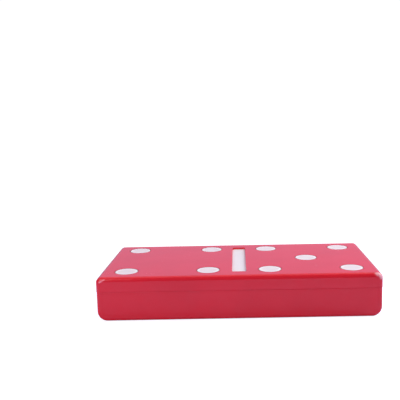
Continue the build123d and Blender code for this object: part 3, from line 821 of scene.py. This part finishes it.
cream_plastic = chess_plastic("cream_chess_plastic", CREAM, CREAM_DEEP, 0.32)
black_plastic = chess_plastic("black_chess_plastic", BLACK, BLACK_SCUFFED, 0.30)
dress(cream_plastic, "light_chess_pieces", "light_chess_pawns")
dress(black_plastic, "dark_chess_pieces", "dark_chess_pawns")

# %% [markdown]
# ## Draughts
#
# A draught has a rim of small reeds, so that it rolls and grips, a raised ring and boss on both
# faces, and a dish between them that lets one stack on another. A bump could stand for the reeds,
# but they show in the outline, so they are real. The draught is turned: a profile of distances from
# the axis goes round, and a cosine of the angle cuts the reeds into the rim. Each draught of a roll
# gets its own turn about the axis, as they never lie with their reeds in line.

# %% Draughts
ROLL_HEIGHT = 29.2
ROLL_MIDDLE, DRAUGHT_STEP = 65.15, 5.5
DRAUGHTS = 15
REEDS = 44
REED_DEPTH = 0.32
REED_SAMPLES = 4
TURN_SEED = 5
RING_PITCH = 0.45
# Shade, the roll's place across the tray, clean and worn colour
ROLLS = (("light", -36.375, CREAM, CREAM_DEEP), ("dark", -62.125, BLACK, BLACK_SCUFFED))
# Distances between which a mask changes: from the axis, and from the middle of the thickness
RINGS_WITHIN = (9.9, 9.7)
BAND_FROM = (10.0, 10.1)
BAND_WITHIN = (2.1, 1.8)
REED_FOOT = (10.38, 10.2)
REED_CREST = (10.38, 10.5)
# Distance from the axis, height over the middle of the thickness, share of the reeds' depth
DRAUGHT_FACE = np.array([
    (3.70, 2.60, 0), (3.92, 2.52, 0), (4.00, 2.35, 0), (4.12, 2.00, 0), (5.60, 2.00, 0),
    (5.80, 2.22, 0), (6.20, 2.22, 0), (6.40, 2.00, 0), (7.90, 2.00, 0), (8.05, 2.35, 0),
    (8.13, 2.52, 0), (8.35, 2.60, 0), (9.85, 2.60, 0), (10.22, 2.50, 0), (10.42, 2.28, 0),
    (10.50, 2.00, 0.2), (10.50, 1.75, 1),
])


def draught_rolls(row):
    """Fifteen draughts on edge: the radius is the profile's, less the reeds' share times half of one
    plus the cosine of the angle times the number of reeds; the radius turns about an axis along X."""
    profile = np.vstack([DRAUGHT_FACE, DRAUGHT_FACE[::-1] * (1, -1, 1)])
    angles = np.linspace(0, 2 * np.pi, REEDS * REED_SAMPLES, endpoint=False)
    cut = REED_DEPTH * profile[:, 2, None] * (1 + np.cos(REEDS * angles)) / 2
    radius = (profile[:, 0, None] - cut)[None]
    turns = angles + np.random.default_rng(TURN_SEED).uniform(0, 1, DRAUGHTS)[:, None, None]
    middles = ROLL_MIDDLE + (np.arange(DRAUGHTS) - DRAUGHTS // 2) * DRAUGHT_STEP
    along = middles[:, None, None] + np.broadcast_to(profile[:, 1, None], (DRAUGHTS, *radius.shape[1:]))
    across = row + radius * np.sin(turns)
    round_points = np.stack([along, across, ROLL_HEIGHT + radius * np.cos(turns)], -1)
    pole_x = middles[:, None] + profile[[0, -1], 1]
    poles = np.stack(np.broadcast_arrays(pole_x, row, ROLL_HEIGHT), -1)
    return np.concatenate([round_points.reshape(DRAUGHTS, -1, 3), poles], 1)


def draught_faces():
    """The faces of one roll: the grid of each draught, and a fan from each pole to its nearest ring."""
    rows, columns = 2 * len(DRAUGHT_FACE), REEDS * REED_SAMPLES
    here = np.arange(columns)
    after = np.roll(here, -1)
    last = (rows - 1) * columns
    first_fan = np.column_stack([np.full(columns, rows * columns), after, here])
    last_fan = np.column_stack([np.full(columns, rows * columns + 1), last + here, last + after])
    shift = np.arange(DRAUGHTS)[:, None, None] * (rows * columns + 2)
    fours = (grid_faces(rows, columns, closed=True) + shift).reshape(-1, 4)
    threes = (np.vstack([first_fan, last_fan]) + shift).reshape(-1, 3)
    return fours.tolist() + threes.tolist()


def draught_plastic(name, row, colour_clean, colour_worn, roughness):
    """Men plastic with turned rings on the faces, worn crests and darker hollows between the reeds."""
    made, colour, gloss, grain = men_plastic(name, colour_clean, colour_worn, roughness)
    ahead = made.less(made.y, row)
    up = made.less(made.z, ROLL_HEIGHT)
    radius = made.vector("LENGTH", made.join(0.0, ahead, up))
    rings = made.math("SINE", made.times(radius, 2 * math.pi / RING_PITCH))
    rings = made.times(rings, made.step(radius, *RINGS_WITHIN))
    along = made.unsigned(fold(made, made.x, ROLL_MIDDLE, DRAUGHT_STEP))
    band = made.times(made.step(radius, *BAND_FROM), made.step(along, *BAND_WITHIN))
    hollow_darkening = made.times(made.step(radius, *REED_FOOT), made.times(band, 0.5))
    crest = made.times(made.step(radius, *REED_CREST), made.times(band, 0.3))
    colour = made.colours(crest, made.colours(hollow_darkening, colour, BLACK), colour_worn)
    return made.finish(colour, gloss, made.bump(rings, 0.010, below=grain))


for shade, row, clean, worn in ROLLS:
    plastic = draught_plastic(f"{shade}_draught_plastic", row, clean, worn, 0.3)
    points = draught_rolls(row).reshape(-1, 3)
    add_piece(f"{shade}_reeded_draughts", points, draught_faces(), [plastic],
              f"{shade}_draughts")

# %% [markdown]
# ## Tray
#
# The tray is drawn over a mould from one thin black sheet with a fine leather grain. Its cells are
# far too many to model, so they are a bump. The sheet stretches where it is drawn deep, which leaves
# the pocket walls shinier, and the deck on top is scuffed by the pieces that are dropped on it.

# %% Tray
TRAY_BLACK = (0.028, 0.028, 0.032)
TRAY_SCUFF = (0.11, 0.105, 0.105)
TRAY_GRIT = (0.42, 0.40, 0.38)
# Heights between which the pocket walls turn into the deck
DECK_FROM = (33.55, 39.05)
GRAINS_PER_MM = 1.1
GRAIN_EDGE = (0.02, 0.16)


def tray_sheet():
    """Black grained sheet: grain of small cells, shiny low down, scuffed and dusty on the deck."""
    made = Finish("black_formed_sheet", TRAY_BLACK, 0.5)
    cells = made.node("ShaderNodeTexVoronoi", feature="DISTANCE_TO_EDGE")
    made.feed(cells.inputs["Vector"], made.place)
    cells.inputs["Scale"].default_value = GRAINS_PER_MM
    grain = made.step(cells.outputs["Distance"], *GRAIN_EDGE)
    deck = made.step(made.z, *DECK_FROM)
    lines = made.most(hairlines(made, 15, 0.005, 0.55), hairlines(made, -70, 0.004, 0.5))
    scuffs = made.times(made.times(lines, deck), 0.7)
    dust = made.times(made.step(made.noise(0.05, detail=5.0), 0.5, 0.8), 0.2)
    grit = made.times(specks(made, 3.2, 0.045, 0.14), 0.55)
    colour = made.colours(made.most(dust, scuffs), TRAY_BLACK, TRAY_SCUFF)
    colour = made.colours(grit, colour, TRAY_GRIT)
    drawn = made.blend(made.noise(0.1), 0.28, 0.4)
    flat = made.blend(made.noise(0.14), 0.46, 0.62)
    roughness = made.blend(deck, drawn, flat)
    leather = made.bump(grain, 0.05)
    waves = made.bump(made.noise(0.07, detail=1.0), 0.25, below=leather)
    return made.finish(colour, roughness, waves)


dress(tray_sheet(), "tray")

# %% [markdown]
# ## Card box
#
# The playing cards lie in a tuck box that is folded from one sheet of thin coated board. A block
# with bevelled edges would have no notch, no flap and no cut edge, so the box is made as the folder
# sees it: a sleeve of four panels, and at each end a panel that bends up and tucks under the top.
# The front end has a half-round notch for the thumb, where the tucked flap shows. The columns of
# the sleeve's top panel follow the notch, so that its outline is cut clean. The Solidify modifier
# turns the surface into board, and gives its cut edges the pale core.

# %% Tuck box
CARTON_MIDDLE = np.array([54.15, 28.1, 31.2])
CARTON_HALF = np.array([31.75, 44.75, 8.5])
BOARD_THICKNESS = 0.35
CREASE = 0.6
NOTCH_RADIUS = 10.0
NOTCH_STEPS = 15
# Degrees from either end of the notch's arc to just short of its middle
NOTCH_END = 87
BODY_START = 4.0
BODY_STEPS = 6
FLAP_REACH = 16.0
FLAP_CORNER = 6.0
END_PLAY = 0.35
SAGGED_FLAP = 0.1
TUCK_GAP = 0.02


def sleeve():
    """Four panels as a rounded rectangle carried along Y. Beside the notch the top panel's two inner
    columns lie at plus and minus the notch's radius times the cosine of an angle, on stations whose
    distance from the open end is the radius times its sine; the faces between them are left out."""
    half_x, half_y, half_z = CARTON_HALF
    flat_x, flat_z = half_x - CREASE, half_z - CREASE
    angle = np.radians(np.linspace(0, NOTCH_END, NOTCH_STEPS + 1))
    notch_y = CREASE - half_y + NOTCH_RADIUS * np.sin(angle)
    body_y = np.linspace(notch_y[-1] + BODY_START, half_y - CREASE, BODY_STEPS)
    y = np.concatenate([notch_y, body_y])
    width = np.append(NOTCH_RADIUS * np.cos(angle), np.full(BODY_STEPS, NOTCH_RADIUS / 2))[:, None]
    beside = width + (flat_x - width) * np.array([0, 0.5, 1])
    inner = width * np.array([-0.5, 0, 0.5])
    top_x = np.hstack([-beside[:, ::-1], inner, beside])
    corners = np.vstack([
        (flat_x, flat_z) + CREASE * arc(67.5, 0, 4),
        (flat_x, -flat_z) + CREASE * arc(0, -90, 5),
        (-flat_x, -flat_z) + CREASE * arc(-90, -180, 5),
        (-flat_x, flat_z) + CREASE * arc(-180, -247.5, 4),
    ])
    corner_x, corner_z = np.broadcast_to(corners.T[:, None], (2, len(y), len(corners)))
    x = np.hstack([top_x, corner_x])
    z = np.hstack([np.full(top_x.shape, half_z), corner_z])
    points = np.stack([x, np.broadcast_to(y[:, None], x.shape), z], -1).reshape(-1, 3)
    faces = grid_faces(*x.shape, closed=True)
    station, column = np.divmod(np.arange(len(faces)), x.shape[1])
    in_notch = (station < NOTCH_STEPS) & (column >= 2) & (column <= 5)
    faces = faces[~in_notch]
    used, faces = np.unique(faces, return_inverse=True)
    return points[used], faces.reshape(-1, 4)


def end_panel(side):
    """One end, bent twice: a quarter circle up from the underside, a straight, a quarter circle over,
    and a flap whose two corners are rounded by narrowing it as a quarter circle does."""
    half_x, half_y, half_z = CARTON_HALF
    tucked = half_z - BOARD_THICKNESS - TUCK_GAP
    low = (CREASE - half_y, CREASE - half_z) + CREASE * arc(-90, -180, 5)
    high = (CREASE - half_y, tucked - CREASE) + CREASE * arc(180, 90, 5)
    rounding = arc(-90, 0, 7)
    flap_y = FLAP_REACH - half_y - FLAP_CORNER * (1 - rounding[:, 0])
    flap = np.column_stack([flap_y, np.linspace(tucked, tucked - SAGGED_FLAP, len(flap_y))])
    path = np.vstack([low, high, flap])
    width = np.full(len(path), half_x - END_PLAY)
    width[-len(flap):] -= FLAP_CORNER * (1 + rounding[:, 1])
    x = width[:, None] * np.linspace(1, -1, 9) * side
    along = np.broadcast_to(-side * path[:, :1], x.shape)
    points = np.stack([x, along, np.broadcast_to(path[:, 1:], x.shape)], -1).reshape(-1, 3)
    return points, grid_faces(*x.shape, closed=False)


# %% [markdown]
# ## Card box print
#
# The board is blue with a pale border and a traditional lattice of diagonals, as the backs of many
# cards have. The lattice is two sets of parallel lines, and diamonds fill the middles of its
# meshes: all of it is sums and differences of x and y. The print cracks first along the folds,
# where the pale core of the board shows through.

# %% Card box finish
CARTON_BLUE = (0.030, 0.065, 0.23)
CARTON_PALE = (0.74, 0.73, 0.69)
CORE = (0.78, 0.75, 0.69)
CORE_SHADE = (0.52, 0.48, 0.42)
LATTICE_PITCH = 8.0
LATTICE_LINE = (0.5, 0.4)
DIAMOND = (2.3, 2.1)
# Insets from the edges of the top, and depths below it
THIN_LINE = (2.6, 3.0)
BROAD_LINE = (3.6, 4.5)
LATTICE_FROM = (4.7, 4.8)
TOP_PRINT = (0.12, 0.06)


def carton_board():
    """Blue board with border, lattice and diamonds on top, and pale cracked folds."""
    made = Finish("blue_coated_board", CARTON_BLUE, 0.4)
    x, y, z = (made.less(place, float(middle)) for place, middle in
               zip((made.x, made.y, made.z), CARTON_MIDDLE))
    in_x, in_y, in_z = (made.less(float(half), made.unsigned(place))
                        for place, half in zip((x, y, z), CARTON_HALF))
    inset = made.least(in_x, in_y)
    broad_line = between(made, inset, *BROAD_LINE, 0.08)
    thin_line = between(made, inset, *THIN_LINE, 0.06)
    one = made.unsigned(fold(made, made.math("ADD", x, y), 0.0, LATTICE_PITCH))
    other = made.unsigned(fold(made, made.less(x, y), 0.0, LATTICE_PITCH))
    lattice = made.step(made.least(one, other), *LATTICE_LINE)
    heart = made.less(LATTICE_PITCH, made.math("ADD", one, other))
    pattern = made.most(lattice, made.step(heart, *DIAMOND))
    pattern = made.times(pattern, made.step(inset, *LATTICE_FROM))
    pattern = made.most(pattern, made.most(broad_line, thin_line))
    pattern = made.times(pattern, made.step(in_z, *TOP_PRINT))
    colour = made.colours(made.times(pattern, 0.9), CARTON_BLUE, CARTON_PALE)
    folds = made.least(made.most(in_x, in_z), made.most(in_y, in_z), made.most(in_x, in_y))
    ragged = made.less(folds, made.times(made.noise(0.9, detail=4.0), 0.6))
    cracks = made.step(ragged, 0.05, -0.1)
    colour = made.colours(made.times(cracks, 0.8), colour, CORE)
    roughness = made.blend(cracks, made.blend(made.noise(0.12, detail=3.0), 0.3, 0.46), 0.8)
    board = made.bump(made.noise(0.8, detail=3.0), 0.012)
    return made.finish(colour, roughness, made.bump(made.noise(0.03, detail=1.0), 0.5, below=board))


def board_core():
    """The cut edge of the board: pale pulp in fine layers."""
    made = Finish("pale_board_core", CORE, 0.85)
    layers = made.noise(2.0, detail=3.0, stretch=(0.3, 0.3, 4.0))
    return made.finish(made.colours(layers, CORE, CORE_SHADE), normal=made.bump(layers, 0.02))


shells = [sleeve(), end_panel(-1), end_panel(1)]
counts = np.cumsum([0] + [len(points) for points, faces in shells])
carton_points = np.vstack([points for points, faces in shells]) + CARTON_MIDDLE
carton_faces = np.vstack([faces + first for (points, faces), first in zip(shells, counts)])
tuck_box = add_piece("folded_tuck_box", carton_points, carton_faces.tolist(),
                     [carton_board(), board_core()], "card_box")
thickness = tuck_box.modifiers.new("board_thickness", "SOLIDIFY")
thickness.thickness = BOARD_THICKNESS / MM
thickness.offset = -1
thickness.use_even_offset = True
thickness.material_offset_rim = 1

# %% [markdown]
# ## Cards
#
# The squared-up pack shows nothing but the edges of its cards: fine lines across the height, each
# card with a tone of its own. Separate sheets would show no more, so the height picks the tone.

# %% Cards
CARD_LAYERS = 3.4
CARD_PALE = (0.82, 0.80, 0.76)
CARD_GREY = (0.58, 0.55, 0.50)


def cut_edges():
    """Stacked sheets: the whole part of the height times the layers per millimetre picks the tone."""
    made = Finish("cut_card_edges", CARD_PALE, 0.6)
    sheet = made.math("FLOOR", made.times(made.z, CARD_LAYERS))
    tone = chance(made, 0.0, 0.0, sheet)
    colour = made.colours(made.times(tone, 0.5), CARD_PALE, CARD_GREY)
    ridge = made.unsigned(fold(made, made.z, 0.0, 1 / CARD_LAYERS))
    return made.finish(colour, made.blend(tone, 0.5, 0.7), made.bump(ridge, 0.05))


dress(cut_edges(), "card_pack")

# %% [markdown]
# ## Folding board
#
# The two leaves are moulded black plastic with a fine sparkle grain. The thin steel playing sheets
# lie face to face inside the folded board: eight by eight squares in cream and green under satin
# lacquer, four rows on each leaf. A picture could hold them, but whole numbers of squares draw them
# sharp at any size. The spine is a woven tape, whose weave is two sets of waves that cross, each on
# top where the other dips.

# %% Folding board
LEAF_BLACK = (0.022, 0.022, 0.025)
LEAF_SCUFF = (0.12, 0.115, 0.115)
SQUARE = 30.0
SHEET_CREAM = (0.66, 0.60, 0.46)
SHEET_GREEN = (0.035, 0.12, 0.075)
SQUARE_EDGE = 0.1
WEAVE_PITCH = 0.9
TAPE_BLACK = (0.016, 0.016, 0.018)
TAPE_GREY = (0.05, 0.05, 0.055)
TAPE_LINT = (0.20, 0.19, 0.19)


def leaf_plastic():
    """Black with a fine moulded sparkle grain, scuffed in patches."""
    made = Finish("black_board_plastic", LEAF_BLACK, 0.42)
    scuffs = made.most(hairlines(made, 8, 0.006, 0.6), hairlines(made, -35, 0.004, 0.5))
    haze = made.step(made.noise(0.03, detail=5.0), 0.5, 0.8)
    worn = made.most(made.times(scuffs, 0.6), made.times(haze, 0.25))
    colour = made.colours(worn, LEAF_BLACK, LEAF_SCUFF)
    roughness = made.blend(made.noise(0.08, detail=3.0), 0.36, 0.54)
    return made.finish(colour, roughness, made.bump(made.noise(2.2, detail=3.0), 0.03))


def playing_sheet():
    """Squares by the parity of the column and row numbers, within a cream margin."""
    made = Finish("lacquered_playing_sheet", SHEET_CREAM, 0.25)
    column = made.math("FLOOR", made.math("DIVIDE", made.x, SQUARE))
    row = made.math("FLOOR", made.math("DIVIDE", made.y, SQUARE))
    odd = made.math("FLOORED_MODULO", made.math("ADD", column, row), 2.0)
    across = made.step(made.unsigned(made.x), 4 * SQUARE + SQUARE_EDGE, 4 * SQUARE - SQUARE_EDGE)
    ahead = made.step(made.unsigned(made.y), 2 * SQUARE + SQUARE_EDGE, 2 * SQUARE - SQUARE_EDGE)
    board = made.times(odd, made.times(across, ahead))
    speckle = made.blend(made.noise(1.5, detail=3.0), 0.85, 1.0)
    colour = made.colours(made.times(board, speckle), SHEET_CREAM, SHEET_GREEN)
    roughness = made.blend(made.noise(0.07, detail=3.0), 0.2, 0.36)
    return made.finish(colour, roughness, made.bump(made.noise(0.5, detail=2.0), 0.008))


def woven_tape():
    """Warp and weft: two crossing waves, the higher one showing at each point."""
    made = Finish("woven_spine_tape", TAPE_BLACK, 0.85)
    turn = 2 * math.pi / WEAVE_PITCH
    warp = made.math("SINE", made.times(made.x, turn))
    depth = made.math("ADD", made.y, made.z)
    weft = made.math("SINE", made.times(depth, turn))
    weave = made.most(warp, weft)
    lint = made.step(made.noise(0.6, detail=4.0), 0.55, 0.8)
    colour = made.colours(made.times(weave, 0.4), TAPE_BLACK, TAPE_GREY)
    colour = made.colours(made.times(lint, 0.25), colour, TAPE_LINT)
    made.shader.inputs["Sheen Weight"].default_value = 0.3
    return made.finish(colour, made.blend(lint, 0.8, 0.95), made.bump(weave, 0.08))


dress(leaf_plastic(), "board_lower_leaf", "board_upper_leaf")
dress(playing_sheet(), "board_lower_sheet", "board_upper_sheet")
dress(woven_tape(), "board_spine")
